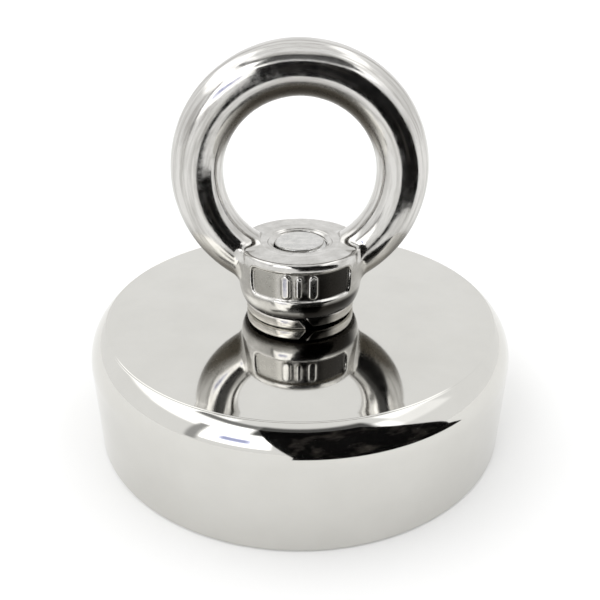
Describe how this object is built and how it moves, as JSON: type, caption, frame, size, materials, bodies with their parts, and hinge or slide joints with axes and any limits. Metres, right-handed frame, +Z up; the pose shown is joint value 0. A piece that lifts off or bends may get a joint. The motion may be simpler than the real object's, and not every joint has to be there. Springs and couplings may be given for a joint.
{
  "type": "magnet fishing magnet",
  "caption": "Round steel cup with a ring magnet in its underside and a screw-on eye nut on top, thrown on a rope to pull steel objects out of water.",
  "frame": {"origin": "centre of the pulling face, which is the underside that the magnet stands on", "axes": "+Z up along the screw and out through the eye; the hole through the eye runs along Y, turned 1 degree"},
  "size_m": [0.06, 0.06, 0.0541],
  "materials": {
    "nickel_plate": "mirror-bright nickel plating on steel",
    "magnet_plate": "satin nickel plating on the sintered magnet",
    "resin": "cured casting resin, dark grey, slightly glossy",
    "screw_steel": "bright zinc plated steel",
    "washer_steel": "bright spring steel",
    "eye_steel": "polished cast stainless steel, slightly uneven"
  },
  "bodies": {
    "magnet_base": {"steel_cup": "nickel_plate", "ring_magnet": "magnet_plate", "bond_layer": "resin", "rim_resin": "resin", "countersunk_screw": "screw_steel"},
    "washer": {"spring_washer": "washer_steel"},
    "eye": {"eye_nut": "eye_steel"}
  },
  "joints": [
    {"name": "eye_turn", "type": "hinge", "parent": "magnet_base", "child": "washer", "pos_m": [0, 0, 0.0194], "axis": [0, 0, 1], "range_deg": [0, 2430]},
    {"name": "eye_lift", "type": "slide", "parent": "washer", "child": "eye", "axis": [0, 0, 1], "range_m": [0, 0.0085]}
  ],
  "couplings": [
    {"joint": "eye_lift", "follows": "eye_turn", "m_per_rad": 0.00019894}
  ]
}
